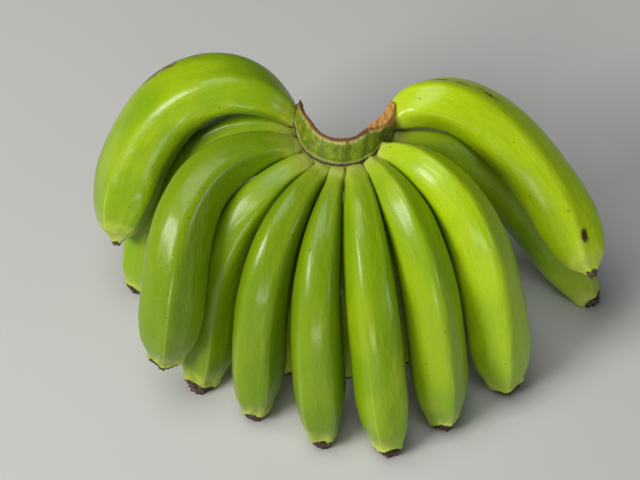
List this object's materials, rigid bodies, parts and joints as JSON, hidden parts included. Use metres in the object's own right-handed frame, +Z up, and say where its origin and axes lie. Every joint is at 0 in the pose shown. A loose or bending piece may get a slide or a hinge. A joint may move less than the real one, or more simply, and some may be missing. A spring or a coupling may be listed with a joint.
{
  "type": "hand of plantains",
  "caption": "Hand of unripe green plantains: ridged curved fruits in an outer and an inner row on a crescent crown, arching down to the dry blossom ends that it stands on.",
  "frame": {"origin": "on the table under the middle of the hand's bounding box", "axes": "+X along the hand from its left end to its right end, +Y from the outer row of fruits to the open back of the crown, +Z up from the blossom ends to the crown"},
  "size_m": [0.3616, 0.2182, 0.1877],
  "materials": {
    "green_skin": "waxy satin",
    "crown_skin": "rough, scarred"
  },
  "bodies": {
    "root": {"crown": "crown_skin", "finger_outer_1": "green_skin", "finger_outer_2": "green_skin", "finger_outer_3": "green_skin", "finger_outer_4": "green_skin", "finger_outer_5": "green_skin", "finger_outer_6": "green_skin", "finger_outer_7": "green_skin", "finger_outer_8": "green_skin", "finger_outer_9": "green_skin", "finger_inner_1": "green_skin", "finger_inner_2": "green_skin", "finger_inner_3": "green_skin", "finger_inner_4": "green_skin", "finger_inner_5": "green_skin", "finger_inner_6": "green_skin", "finger_inner_7": "green_skin"}
  },
  "joints": []
}
